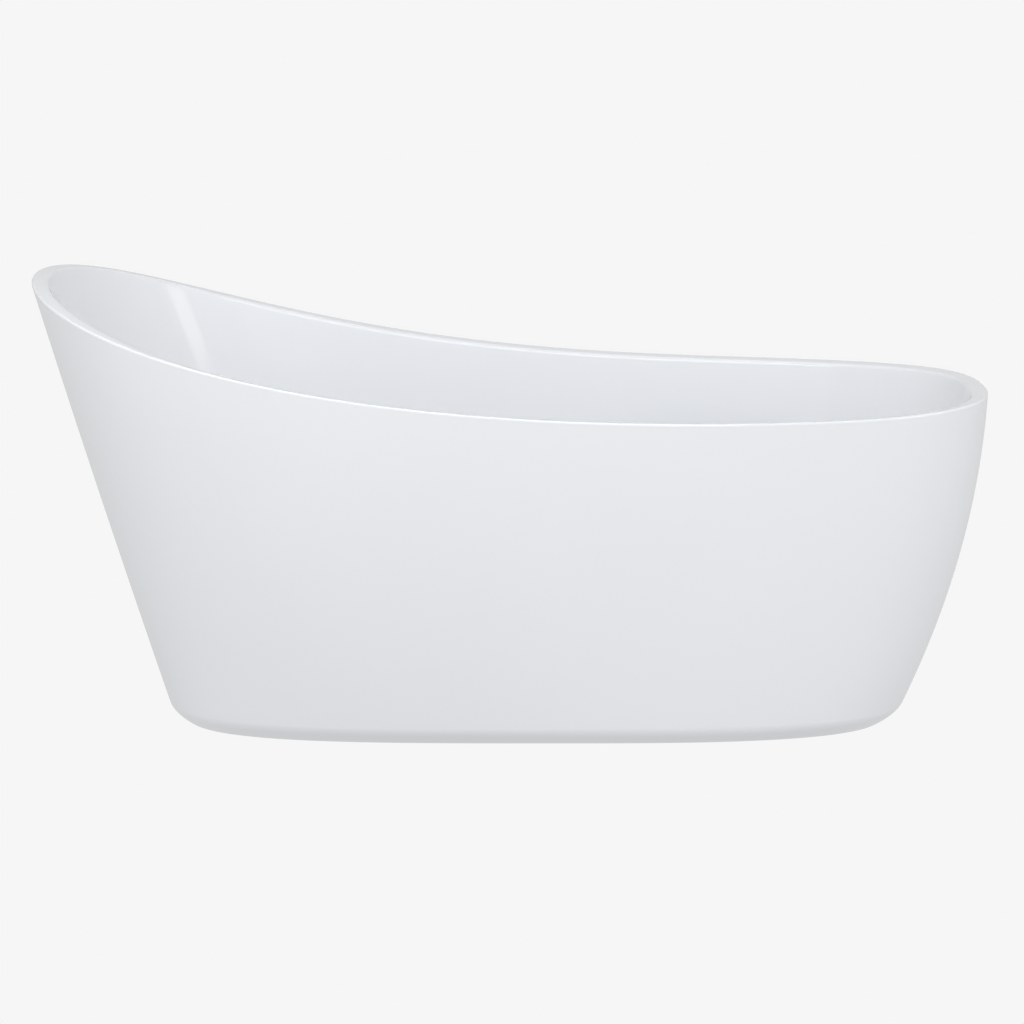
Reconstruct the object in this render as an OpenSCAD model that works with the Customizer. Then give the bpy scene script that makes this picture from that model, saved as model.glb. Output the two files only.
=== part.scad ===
// Freestanding single slipper bathtub with a double wall.
// Millimetres, +Z up. The origin lies on the floor under the middle of the bathtub.
// +X points to the drain end, -X to the raised head end.

/* [Overall] */
// Length over the rim
overall_length = 1500; // [1450:10:1600]
// Width over the rim at its widest place
overall_width = 750; // [720:5:800]
// Height of the rim at the head end
head_height = 720; // [690:5:760]
// Height of the rim at the drain end
drain_end_height = 539; // [535:1:545]
// Height of the rim at its lowest place
low_height = 533.5; // [525:0.5:535]
// Distance of the lowest place from the middle
low_place = 505; // [480:5:560]
// Power of the curve by which the rim climbs to the head end
rise_power = 2.7; // [2.4:0.1:3.0]

/* [Outer wall] */
// Distance from the middle to the head end of the base
base_head = 544; // [535:1:560]
// Distance from the middle to the drain end of the base
base_drain = 618; // [612:1:640]
// Width of the base
base_width = 423; // [420:1:450]
// Narrowing of the rim towards the drain end
rim_taper = 0.22; // [0.1:0.02:0.24]
// Thickness of the outer skirt
skirt_thickness = 6; // [4:1:7]
// Height of the skirt's lower edge above the floor
edge_gap = 2; // [2:0.5:4]
// How far the skirt turns in at its foot
foot_tuck = 24; // [0:1:26]
// Height over which the skirt turns in
foot_rise = 36; // [30:1:45]

/* [Rim] */
// Width of the flat lip
lip_width = 25; // [22:1:28]
// Thickness of the lip
lip_thickness = 6; // [5:1:8]
// Fall of the lip towards the well
lip_fall = 3; // [1:1:4]

/* [Well] */
// Height of the well's floor
floor_height = 120; // [118:1:122]
// Distance from the middle to the head end of the well's floor
well_head = 450; // [430:5:460]
// Distance from the middle to the drain end of the well's floor
well_drain = 575; // [570:1:580]
// Width of the well at its floor
well_width = 436; // [420:2:440]
// Radius between the well's floor and its wall
well_fillet = 60; // [50:5:65]
// Thickness of the acrylic sheet
sheet = 5; // [4:0.5:5]
// Thickness of the laminate behind the sheet
laminate = 3; // [2:0.5:3]

/* [Support frame] */
// Thickness of the board under the well's floor
board_thickness = 12; // [9:1:12]
// Outer size of the square tube
tube_size = 25; // [25:1:25]
// Wall of the square tube
tube_wall = 2; // [1.5:0.5:2.5]
// Distance of each rail from the centre line
rail_offset = 120; // [115:1:125]
// Radius of a levelling stud
stud_radius = 6; // [6:1:6]
// Radius of a levelling pad
pad_radius = 22; // [20:1:24]

/* [Waste and overflow] */
// Distance of the drain from the middle
drain_place = 430; // [420:5:440]
// Radius of the waste flange
flange_radius = 35; // [33:1:36]
// Height of the overflow's centre
overflow_height = 430; // [420:1:432]
// Radius of the overflow cover
cover_radius = 34; // [33:1:35]
// Outer radius of the overflow hose
hose_radius = 14; // [12:1:14]
// Radius of the outlet tube
outlet_radius = 20; // [20:1:20]

/* [Hidden] */
$fn = 64;

stations = 96;
skirt_rows = 11;
foot_rows = 3;
fillet_rows = 4;
wall_rows = 7;
glue_gap = 0.3;
small = 1;

half_length = overall_length / 2;
base_centre = 93;
rim_centre = 60;
well_centre = 30;

// Exponents of the ovals along and across, at the head end and at the drain end
rim_power = [[4.9, 2.0], [4.7, 2.55]];
base_power = [[3.7, 3.1], [2.85, 3.1]];
well_power = [[2.7, 2.7], [3.0, 3.0]];
// How far the walls bulge between the foot and the rim: head, drain end, sides
outer_bow = [0.06, 0.91, 0.2];
well_bow = [0.15, 0.1, 0.35];

board_top = floor_height - sheet - laminate;
board_bottom = board_top - board_thickness;
rail_bottom = board_bottom - tube_size;
rail_start = -440;
rail_end = 535;
cross_places = [-400, -60, 330];
cross_length = 2 * rail_offset - tube_size;
screw_places = [-230, 40, 270];
screw_radius = 2.5;
bracket_angles = [70, 110, 250, 290];
bracket_level = rail_bottom + 14;

nut_height = 10;
lock_nut_height = 7;
fit_gap = 0.05;
stud_foot = 5.1;
stud_top = rail_bottom + 17;
foot_places = [
    [-395, rail_offset], [-395, -rail_offset],
    [465, rail_offset], [465, -rail_offset],
    [cross_places[1], 0]
];

seal_height = 1.5;
flange_top = floor_height + seal_height + 3;
neck_radius = 24;
hole_radius = 26;
body_top = board_top - 3;
body_bottom = 52;
inlet_height = 80;
cartridge_bottom = floor_height - 26;
cap_base = flange_top + 0.4;
stem_bottom = cartridge_bottom + 2;
outlet_bottom = 14;
outlet_top = body_bottom + 10;
outlet_nut_bottom = body_bottom - 8;

hose_bend = 70;
hose_lean = 13;
elbow_depth = 26;
wall_depth = sheet + laminate;

acrylic_white = [0.95, 0.95, 0.95];
laminate_grey = [0.80, 0.80, 0.74];
plywood_tan = [0.76, 0.62, 0.42];
zinc_grey = [0.62, 0.65, 0.68];
chrome_grey = [0.85, 0.86, 0.88];
rubber_black = [0.10, 0.10, 0.10];
plastic_white = [0.88, 0.88, 0.86];

// ---- Shape of the walls ----

function signed_power(v, e) = sign(v) * pow(abs(v), e);

// 0 to 1 as u goes from 0 to 1, ahead of u by a bulge of size c
function grow(u, c) = (1 + c) * u - c * u * u;

// Oval with its own exponents and reach at the head end and at the drain end
function oval(a, head, drain, half, centre, power) =
    let (at_head = cos(a) < 0)
    let (n = at_head ? power[0] : power[1])
    let (reach = at_head ? centre + head : drain - centre)
    [centre + reach * signed_power(cos(a), 2 / n[0]), half * signed_power(sin(a), 2 / n[1])];

function rim_z(x) =
    let (rise = max(0, (low_place - x) / (low_place + half_length)))
    let (lift = max(0, (x - low_place) / (half_length - low_place)))
    low_height + (head_height - low_height) * pow(rise, rise_power)
        + (drain_end_height - low_height) * lift * lift;

function tapered(p) = [p.x, p.y * (1 - rim_taper * p.x / half_length)];
function raw_rim(a) = tapered(oval(a, half_length, half_length, 1, rim_centre, rim_power));

// Angles of the stations, spaced evenly along a rim of nominal width. They are read from a
// fine table of the distance run along it, whose own angles crowd where the oval runs fast.
fine_steps = 720;
fine_angles = [
    for (i = [0 : fine_steps])
        let (t = 360 * i / fine_steps)
        let (a = acos(signed_power(cos(t), 3)))
        t <= 180 ? a : 360 - a
];
function nominal_rim(i) =
    let (p = raw_rim(fine_angles[min(i, fine_steps)]))
    [p.x, p.y * overall_width / 2];
runs = [
    for (
        i = 0, run = 0;
        i <= fine_steps;
        run = run + norm(nominal_rim(i + 1) - nominal_rim(i)), i = i + 1
    ) [run, fine_angles[i]]
];
angles = [for (i = [0 : stations - 1]) lookup(i * runs[fine_steps][0] / stations, runs)];

rim_half = overall_width / 2 / max([for (a = angles) raw_rim(a).y]);
function rim_plan(a) = [raw_rim(a).x, rim_half * raw_rim(a).y];
function rim_height(a) = rim_z(rim_plan(a).x);

function base_plan(a) =
    oval(a, base_head, base_drain, base_width / 2, base_centre, base_power);

// Bulge at an angle, between the value of the end it faces and the value of the sides
function bow(a, bows) =
    let (c = cos(a) * cos(a))
    c * (cos(a) < 0 ? bows[0] : bows[1]) + (1 - c) * bows[2];

// Outward direction in plan of a curve, from two of its points on either side
function outward(before, after) =
    let (d = after - before)
    [d.y, -d.x] / norm(d);

// The wall is turned in at its foot, most at the floor
function foot_share(z) = max(0, 1 - z / foot_rise);
function outer_plan(a, z) =
    let (g = grow(z / rim_height(a), bow(a, outer_bow)))
    base_plan(a) + (rim_plan(a) - base_plan(a)) * g
        - foot_tuck * pow(foot_share(z), 2) * outward(base_plan(a - 1), base_plan(a + 1));

function outer_normal(a, z) = outward(outer_plan(a - 1, z), outer_plan(a + 1, z));

function well_foot(a) =
    oval(a, well_head, well_drain, well_width / 2, well_centre, well_power);
function well_rim(a) =
    rim_plan(a) - lip_width * outward(rim_plan(a - 1), rim_plan(a + 1));
function well_top(a) = rim_height(a) - lip_fall;

function well_plan(a, z) =
    let (u = (z - floor_height) / (well_top(a) - floor_height))
    well_foot(a) + (well_rim(a) - well_foot(a)) * grow(u, bow(a, well_bow));
function well_normal(a, z) = outward(well_plan(a - 1, z), well_plan(a + 1, z));

function at_height(p, z) = [p.x, p.y, z];

// Height of a ring of the outer wall: the lowest ones lie close together on the foot
function skirt_level(row, top) =
    row <= foot_rows
        ? edge_gap + (foot_rise - edge_gap) * row / foot_rows
        : foot_rise + (top - foot_rise) * (row - foot_rows) / (skirt_rows - foot_rows);

// Rings of points up the outer wall, ending in the glue gap. They are moved in by a
// thickness, which counts across the wall where it turns in.
function skirt_ring(row, inset) = [
    for (a = angles)
        let (z = skirt_level(row, rim_height(a) - lip_thickness - glue_gap))
        let (lean = norm([1, 2 * foot_tuck / foot_rise * foot_share(z)]))
        at_height(outer_plan(a, z) - inset * lean * outer_normal(a, z), z)
];

// Rings of points up the well's shell, moved out by a distance from its inner face
function fillet_ring(row, out) = [
    for (a = angles)
        let (turn = 90 * row / fillet_rows)
        let (radius = well_fillet + out)
        let (z = floor_height - out + radius * (1 - cos(turn)))
        let (shift = out - radius * (1 - sin(turn)))
        at_height(well_plan(a, z) + shift * well_normal(a, z), z)
];
function wall_ring(row, out) = [
    for (a = angles)
        let (top = out > 0 ? rim_height(a) - lip_thickness : well_top(a))
        let (foot = floor_height + well_fillet)
        let (z = foot + (top - foot) * row / wall_rows)
        at_height(well_plan(a, z) + out * well_normal(a, z), z)
];
function shell_rings(out, rows) = concat(
    [for (row = [0 : fillet_rows]) fillet_ring(row, out)],
    [for (row = [1 : rows]) wall_ring(row, out)]
);
function reversed(rings) = [for (i = [len(rings) - 1 : -1 : 0]) rings[i]];

// Two triangles between each pair of points on neighbouring rings. The cut between them
// turns over halfway, so that a face shared by two shells has the same triangles in both.
function ring_faces(count, n, closed) = [
    for (i = [0 : count - (closed ? 1 : 2)]) for (j = [0 : n - 1])
        let (next = (i + 1) % count)
        let (a = i * n + j, b = i * n + (j + 1) % n)
        let (c = next * n + j, d = next * n + (j + 1) % n)
        each i < count / 2 ? [[a, d, b], [a, c, d]] : [[a, c, b], [c, d, b]]
];

// Solid through rings of points, with a flat cap on the first and on the last
module capped_solid(rings) {
    n = len(rings[0]);
    last = (len(rings) - 1) * n;
    first_cap = [for (j = [0 : n - 1]) j];
    last_cap = [for (j = [n - 1 : -1 : 0]) last + j];
    polyhedron(
        points = [for (ring = rings) each ring],
        faces = concat([first_cap, last_cap], ring_faces(len(rings), n, false)),
        convexity = 8
    );
}

// Solid through rings of points, whose last ring joins its first
module looped_solid(rings) {
    polyhedron(
        points = [for (ring = rings) each ring],
        faces = ring_faces(len(rings), len(rings[0]), true),
        convexity = 8
    );
}

// ---- Places on the walls ----

// Point and lean of the well's inner face at the overflow
overflow_point = [well_plan(0, overflow_height).x, 0, overflow_height];
overflow_lean = atan(
    (well_plan(0, overflow_height + small).x - well_plan(0, overflow_height - small).x)
        / (2 * small)
);

// Children stand on the well's wall at the overflow, with +Z pointing into the well
module at_overflow() {
    translate(overflow_point) rotate([0, overflow_lean - 90, 0]) children();
}

module ring(outer, inner, height) {
    difference() {
        cylinder(r = outer, h = height);
        translate([0, 0, -small]) cylinder(r = inner, h = height + 2 * small);
    }
}

module hex_nut(across_flats, bore, height) {
    difference() {
        cylinder(r = across_flats / 2 / cos(30), h = height, $fn = 6);
        translate([0, 0, -small]) cylinder(r = bore, h = height + 2 * small);
    }
}

// ---- Shells ----

module basin() {
    upper_edge = [for (a = angles) at_height(rim_plan(a), rim_height(a))];
    lower_edge = [
        for (a = angles)
            let (z = rim_height(a) - lip_thickness)
            at_height(outer_plan(a, z), z)
    ];
    color(acrylic_white)
        difference() {
            capped_solid(concat(
                shell_rings(0, wall_rows),
                [upper_edge, lower_edge],
                reversed(shell_rings(sheet, wall_rows))
            ));
            drain_hole();
            overflow_hole();
        }
}

module basin_backing() {
    color(laminate_grey)
        difference() {
            capped_solid(concat(
                shell_rings(sheet, wall_rows - 1),
                reversed(shell_rings(sheet + laminate, wall_rows - 1))
            ));
            drain_hole();
            overflow_hole();
        }
}

module outer_skirt() {
    color(acrylic_white)
        looped_solid(concat(
            [for (row = [skirt_rows : -1 : 0]) skirt_ring(row, skirt_thickness)],
            [for (row = [0 : skirt_rows]) skirt_ring(row, 0)]
        ));
}

module drain_hole() {
    translate([drain_place, 0, board_bottom]) cylinder(r = hole_radius, h = 60);
}

module overflow_hole() {
    at_overflow() translate([0, 0, -30]) cylinder(r = 23, h = 45);
}

// ---- Board and steel frame ----

module floor_board() {
    margin = well_fillet + 4;
    outline = [
        for (a = angles)
            well_foot(a) - margin * outward(well_foot(a - 1), well_foot(a + 1))
    ];
    color(plywood_tan)
        difference() {
            translate([0, 0, board_bottom])
                linear_extrude(board_thickness)
                    polygon(outline);
            translate([drain_place, 0, board_bottom - small])
                cylinder(r = 45, h = board_thickness + 2 * small);
            frame_screw_places()
                translate([0, 0, board_bottom - small])
                    cylinder(r = screw_radius + fit_gap, h = 11 + small);
        }
}

module frame_screw_places() {
    for (x = screw_places) for (side = [-1, 1])
        translate([x, side * rail_offset, 0]) children();
}

module frame_rail(side) {
    inner = tube_size - 2 * tube_wall;
    color(zinc_grey)
        difference() {
            translate([rail_start, side * rail_offset - tube_size / 2, rail_bottom])
                cube([rail_end - rail_start, tube_size, tube_size]);
            translate([rail_start - small, side * rail_offset - inner / 2, rail_bottom + tube_wall])
                cube([rail_end - rail_start + 2 * small, inner, inner]);
            frame_screw_places()
                translate([0, 0, rail_bottom - small])
                    cylinder(r = screw_radius + 0.1, h = tube_size + 2 * small);
            for (place = foot_places)
                if (sign(place.y) == side)
                    translate([place.x, place.y, rail_bottom - small])
                        cylinder(r = stud_radius + 0.5, h = tube_wall + 2 * small);
            for (a = bracket_angles)
                if (sign(sin(a)) == side)
                    translate([bracket_point(a).x, side * rail_offset, rail_bottom - small])
                        cylinder(r = screw_radius + 0.1, h = tube_wall + 2 * small);
        }
}

module frame_cross(x) {
    inner = tube_size - 2 * tube_wall;
    color(zinc_grey)
        difference() {
            translate([x - tube_size / 2, -cross_length / 2, rail_bottom])
                cube([tube_size, cross_length, tube_size]);
            translate([x - inner / 2, -cross_length / 2 - small, rail_bottom + tube_wall])
                cube([inner, cross_length + 2 * small, inner]);
            for (place = foot_places)
                if (place.y == 0 && place.x == x)
                    translate([x, 0, rail_bottom - small])
                        cylinder(r = stud_radius + 0.5, h = tube_wall + 2 * small);
        }
}

// Pan head below, shank upwards
module screw(length) {
    translate([0, 0, -3.5]) cylinder(r = 5, h = 3.5);
    cylinder(r = screw_radius, h = length);
}

module frame_screws() {
    color(chrome_grey)
        frame_screw_places() translate([0, 0, rail_bottom]) screw(tube_size + 10);
}

function bracket_point(a) =
    let (reach = skirt_thickness + 1.5)
    outer_plan(a, bracket_level) - reach * outer_normal(a, bracket_level);

// Strap under a rail that turns up against the skirt
module skirt_bracket(a) {
    side = sign(sin(a));
    p = bracket_point(a);
    n = outer_normal(a, bracket_level);
    climb = outer_plan(a, bracket_level + small) - outer_plan(a, bracket_level);
    slope = climb * n / small;
    strap = 3;
    start = side * (rail_offset - tube_size / 2);
    stop = p.y - side * (1.5 + slope * (bracket_level - rail_bottom + strap / 2));
    difference() {
        union() {
            translate([p.x - 12, min(start, stop), rail_bottom - strap])
                cube([24, abs(stop - start), strap]);
            translate([p.x, p.y, bracket_level])
                rotate([0, 0, atan2(n.y, n.x)])
                    rotate([0, atan(slope), 0])
                        translate([-strap, -12, -18])
                            cube([strap, 24, 36]);
        }
        translate([p.x, side * rail_offset, rail_bottom - strap - small])
            cylinder(r = screw_radius + 0.1, h = strap + 2 * small);
    }
}

module skirt_brackets() {
    color(zinc_grey) for (a = bracket_angles) skirt_bracket(a);
}

module bracket_screws() {
    color(chrome_grey)
        for (a = bracket_angles)
            translate([bracket_point(a).x, sign(sin(a)) * rail_offset, rail_bottom - 3])
                screw(11);
}

// ---- Levelling feet ----

module at_feet() {
    for (place = foot_places) translate(place) children();
}

module weld_nuts() {
    color(zinc_grey)
        at_feet() translate([0, 0, rail_bottom - nut_height])
            hex_nut(18, stud_radius + fit_gap, nut_height);
}

module foot_lock_nuts() {
    color(zinc_grey)
        at_feet() translate([0, 0, rail_bottom - nut_height - lock_nut_height])
            hex_nut(18, stud_radius + fit_gap, lock_nut_height);
}

// Threaded stud with a hexagon for the spanner
module foot_stud(place) {
    color(zinc_grey)
        translate([place.x, place.y, 0]) {
            translate([0, 0, stud_foot]) cylinder(r = stud_radius, h = stud_top - stud_foot);
            translate([0, 0, 15]) cylinder(r = 10, h = 6, $fn = 6);
        }
}

// Pad with a socket that the stud turns in
module foot_pad(place) {
    socket = stud_radius + fit_gap;
    color(rubber_black)
        translate([place.x, place.y, 0])
            rotate_extrude()
                polygon([
                    [0, 0], [pad_radius, 0], [pad_radius, 4], [pad_radius - 2, 6],
                    [13, 9], [12, 14], [socket, 14], [socket, 5], [0, 5]
                ]);
}

// ---- Waste ----

module at_drain(z) {
    translate([drain_place, 0, z]) children();
}

// Flange and neck, with a hub on four spokes for the cartridge
module drain_flange() {
    top = flange_top - floor_height;
    foot = body_top - 30 - floor_height;
    hub = cartridge_bottom + 4 - floor_height;
    color(chrome_grey)
        at_drain(floor_height) {
            rotate_extrude()
                polygon([
                    [neck_radius, seal_height], [flange_radius, seal_height],
                    [flange_radius - 1.5, top], [27, top], [21, 0], [21, foot],
                    [neck_radius, foot]
                ]);
            translate([0, 0, hub]) ring(9.5, 7 + fit_gap, 8);
            for (turn = [45 : 90 : 315])
                rotate([0, 0, turn])
                    translate([8.5, -1.5, hub + 0.5])
                        cube([13.5, 3, 7]);
        }
}

module drain_seal() {
    color(rubber_black)
        at_drain(floor_height) ring(flange_radius - 2, neck_radius + 0.3, seal_height);
}

module drain_gasket() {
    color(rubber_black)
        at_drain(body_top) ring(37, neck_radius + 0.3, 3);
}

// Tee under the floor: the neck screws in from above, the overflow comes in from the side
module drain_body() {
    color(plastic_white)
        at_drain(0)
            difference() {
                union() {
                    translate([0, 0, body_top - 5]) cylinder(r = 38, h = 5);
                    translate([0, 0, body_bottom]) cylinder(r = 29, h = body_top - body_bottom);
                    translate([0, 0, inlet_height])
                        rotate([0, 90, 0])
                            cylinder(r = hose_radius - 3, h = 56);
                }
                translate([0, 0, body_bottom + 22]) cylinder(r = neck_radius + 0.1, h = 60);
                translate([0, 0, body_bottom - small]) cylinder(r = outlet_radius + 0.2, h = 40);
                translate([0, 0, inlet_height])
                    rotate([0, 90, 0])
                        cylinder(r = hose_radius - 5, h = 60);
            }
}

// Sleeve that guides the stopper's stem, held in the hub of the flange
module drain_cartridge() {
    color(chrome_grey)
        at_drain(cartridge_bottom)
            ring(7, 4 + fit_gap, 20);
}

// Domed cap on a stem that slides in the cartridge
module drain_stopper() {
    color(chrome_grey)
        at_drain(cap_base)
            rotate_extrude()
                polygon([
                    [0, stem_bottom - cap_base], [4, stem_bottom - cap_base], [4, -4],
                    [19, -4], [19, 0], [31, 0], [32, 1.2], [31, 2.8],
                    [24, 4.6], [12, 5.8], [0, 6.2]
                ]);
}

module stopper_seal() {
    color(rubber_black)
        at_drain(cap_base - 2.4) ring(24, 19, 1.8);
}

// Outlet tube with a bead that stops against its nut
module outlet_tube() {
    bead = 3;
    color(plastic_white)
        at_drain(outlet_bottom)
            difference() {
                union() {
                    cylinder(r = outlet_radius, h = outlet_top - outlet_bottom);
                    translate([0, 0, outlet_nut_bottom - bead - outlet_bottom])
                        cylinder(r = outlet_radius + 1.5, h = bead);
                }
                translate([0, 0, -small]) cylinder(r = outlet_radius - 2, h = 60);
            }
}

module outlet_nut() {
    color(plastic_white)
        at_drain(outlet_nut_bottom)
            difference() {
                union() {
                    cylinder(r = 34, h = 20);
                    for (turn = [0 : 30 : 330])
                        rotate([0, 0, turn]) translate([33, -2, 0]) cube([3, 4, 20]);
                }
                translate([0, 0, 8]) cylinder(r = 29.2, h = 20);
                translate([0, 0, -small]) cylinder(r = outlet_radius + 0.2, h = 20);
            }
}

// ---- Overflow ----

// Cap over the overflow, open below towards the well
module overflow_cover() {
    color(chrome_grey)
        at_overflow()
            difference() {
                rotate_extrude()
                    polygon([
                        [3.2, 12], [cover_radius - 3, 11], [cover_radius, 8], [cover_radius, 1],
                        [cover_radius - 2, 1], [cover_radius - 2, 7.5], [31, 8.6],
                        [24, 9.2], [3.2, 9.6]
                    ]);
                translate([-cover_radius - small, -12, -small]) cube([14, 24, 7]);
            }
}

module overflow_screw() {
    color(chrome_grey)
        at_overflow() {
            translate([0, 0, 12]) cylinder(r = 5.5, h = 2);
            translate([0, 0, -6]) cylinder(r = 3, h = 18);
        }
}

module overflow_ring() {
    color(plastic_white)
        at_overflow()
            translate([0, 0, 0.8]) ring(29, 22.1, 3.6);
}

module overflow_gasket() {
    color(rubber_black)
        at_overflow()
            translate([0, 0, -wall_depth - 3.4]) ring(31, 22.1, 3);
}

elbow_back = wall_depth + 3.4;
module overflow_elbow() {
    color(plastic_white)
        difference() {
            union() {
                at_overflow() {
                    translate([0, 0, -elbow_back - 4]) cylinder(r = 31, h = 4);
                    translate([0, 0, -elbow_back]) cylinder(r = 22, h = elbow_back + 4);
                    translate([0, 0, -elbow_back - 26]) cylinder(r = 20, h = 26);
                }
                hose_end_frame() translate([0, 0, -40]) cylinder(r = hose_radius - 3, h = 40);
            }
            at_overflow() difference() {
                translate([0, 0, -elbow_back - 23]) cylinder(r = 17, h = 60);
                translate([0, 0, -6]) cylinder(r = 17 + small, h = 3);
            }
            at_overflow() difference() {
                translate([0, 0, -7]) cylinder(r = 15, h = 5);
                translate([0, 0, -8]) cylinder(r = 6, h = 7);
                for (turn = [0, 90])
                    rotate([0, 0, turn]) translate([-16, -1.5, -8]) cube([32, 3, 7]);
            }
            at_overflow() translate([0, 0, -7]) cylinder(r = 3 + fit_gap, h = 8);
            hose_end_frame() translate([0, 0, -41]) cylinder(r = hose_radius - 5, h = 36);
        }
}

// ---- Overflow hose ----

elbow_point = [
    overflow_point.x + elbow_depth * cos(overflow_lean), 0,
    overflow_point.z - elbow_depth * sin(overflow_lean)
];
module hose_end_frame() {
    translate(elbow_point) rotate([0, hose_lean, 0]) children();
}

hose_start = drain_place + 32;
hose_stop = 24;
bend_end_z = inlet_height + hose_bend * (1 - sin(hose_lean));
bend_x = elbow_point.x - (elbow_point.z - bend_end_z) * tan(hose_lean)
    - hose_bend * cos(hose_lean);
rise_length = (elbow_point.z - bend_end_z) / cos(hose_lean) - hose_stop;

// Stations of the hose: place on its centre line and lean of its direction from level
function bend_station(turn) = [
    bend_x + hose_bend * sin(turn), inlet_height + hose_bend * (1 - cos(turn)), turn
];
function rise_station(run) =
    let (foot = bend_station(90 - hose_lean))
    [foot[0] + run * sin(hose_lean), foot[1] + run * cos(hose_lean), 90 - hose_lean];
hose_stations = concat(
    [for (i = [0 : 4]) [hose_start + (bend_x - hose_start) * i / 4, inlet_height, 0]],
    [for (i = [1 : 10]) bend_station((90 - hose_lean) * i / 10)],
    [for (i = [1 : 8]) rise_station(rise_length * i / 8)]
);

function hose_ring(station, radius) = [
    for (i = [0 : 11])
        let (across = radius * cos(30 * i), up = radius * sin(30 * i))
        [station[0] - up * sin(station[2]), across, station[1] + up * cos(station[2])]
];

module overflow_hose() {
    color(plastic_white)
        looped_solid(concat(
            [for (s = hose_stations) hose_ring(s, hose_radius)],
            [for (s = reversed(hose_stations)) hose_ring(s, hose_radius - 2.3)]
        ));
}

// Clamp bands round the two ends of the hose
module hose_nuts() {
    band = hose_radius + 0.1;
    color(chrome_grey) {
        translate([hose_start + 5, 0, inlet_height])
            rotate([0, 90, 0]) ring(band + 2, band, 10);
        hose_end_frame()
            translate([0, 0, -hose_stop - 19]) ring(band + 2, band, 10);
    }
}

basin();
basin_backing();
outer_skirt();
floor_board();
frame_rail(1);  // frame_rail_left
frame_rail(-1);  // frame_rail_right
frame_cross(cross_places[0]);  // frame_cross_head
frame_cross(cross_places[1]);  // frame_cross_middle
frame_cross(cross_places[2]);  // frame_cross_drain
frame_screws();
skirt_brackets();
bracket_screws();
weld_nuts();
foot_lock_nuts();
foot_stud(foot_places[0]);  // stud_head_left
foot_stud(foot_places[1]);  // stud_head_right
foot_stud(foot_places[2]);  // stud_drain_left
foot_stud(foot_places[3]);  // stud_drain_right
foot_stud(foot_places[4]);  // stud_centre
foot_pad(foot_places[0]);  // pad_head_left
foot_pad(foot_places[1]);  // pad_head_right
foot_pad(foot_places[2]);  // pad_drain_left
foot_pad(foot_places[3]);  // pad_drain_right
foot_pad(foot_places[4]);  // pad_centre
drain_flange();
drain_seal();
drain_gasket();
drain_body();
drain_cartridge();
drain_stopper();
stopper_seal();
outlet_tube();
outlet_nut();
overflow_cover();
overflow_screw();
overflow_ring();
overflow_gasket();
overflow_elbow();
overflow_hose();
hose_nuts();
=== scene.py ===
"""Looks of a freestanding slipper bathtub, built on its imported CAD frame. Metres, +Z up."""

import math

import bmesh
import bpy
import numpy as np
from mathutils import Matrix, Vector


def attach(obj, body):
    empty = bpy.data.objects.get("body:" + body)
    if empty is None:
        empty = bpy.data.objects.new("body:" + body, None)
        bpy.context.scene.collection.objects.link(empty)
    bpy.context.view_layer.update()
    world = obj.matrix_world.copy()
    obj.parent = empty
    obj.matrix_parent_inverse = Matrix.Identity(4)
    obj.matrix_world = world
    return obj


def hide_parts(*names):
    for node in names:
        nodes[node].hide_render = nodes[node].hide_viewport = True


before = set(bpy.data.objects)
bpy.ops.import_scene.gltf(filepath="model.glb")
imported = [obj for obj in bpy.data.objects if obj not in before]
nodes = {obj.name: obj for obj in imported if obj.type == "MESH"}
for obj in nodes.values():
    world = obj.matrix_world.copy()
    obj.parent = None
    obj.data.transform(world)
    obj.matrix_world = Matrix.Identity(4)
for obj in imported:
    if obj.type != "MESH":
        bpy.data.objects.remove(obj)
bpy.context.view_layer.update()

# ---- Dimensions, as in the CAD model ----

HALF_LENGTH, HALF_WIDTH = 0.750, 0.375
HEAD_HEIGHT, DRAIN_END_HEIGHT, LOW_HEIGHT = 0.720, 0.539, 0.5335
LOW_PLACE, RISE_POWER, RIM_TAPER = 0.505, 2.7, 0.22
BASE_HEAD, BASE_DRAIN, BASE_HALF = 0.544, 0.618, 0.2115
FOOT_TUCK, FOOT_RISE = 0.024, 0.036
WELL_HEAD, WELL_DRAIN, WELL_HALF = 0.450, 0.575, 0.218
BASE_CENTRE, RIM_CENTRE, WELL_CENTRE = 0.093, 0.060, 0.030
# Exponents along and across, at the head end and at the drain end
RIM_POWER = (4.9, 2.0), (4.7, 2.55)
BASE_POWER = (3.7, 3.1), (2.85, 3.1)
WELL_POWER = (2.7, 2.7), (3.0, 3.0)
OUTER_BOW, WELL_BOW = (0.06, 0.91, 0.2), (0.15, 0.1, 0.35)
LIP_WIDTH, LIP_THICKNESS, LIP_FALL = 0.025, 0.006, 0.003
FLOOR_HEIGHT, WELL_FILLET, SHEET, LAMINATE = 0.120, 0.060, 0.005, 0.003
SKIRT_THICKNESS, EDGE_GAP = 0.006, 0.002

LIP_INNER_RADIUS, LIP_OUTER_RADIUS = 0.008, 0.003
# Gap between pieces that would otherwise share a surface
SEAM = 0.00005
# How far the well's even rings stop below its top, and the laminate below the lip
WALL_STOP, LAMINATE_STOP = 0.014, 0.050
STATIONS = 448
TURN_STEP = math.radians(0.1)

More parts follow.
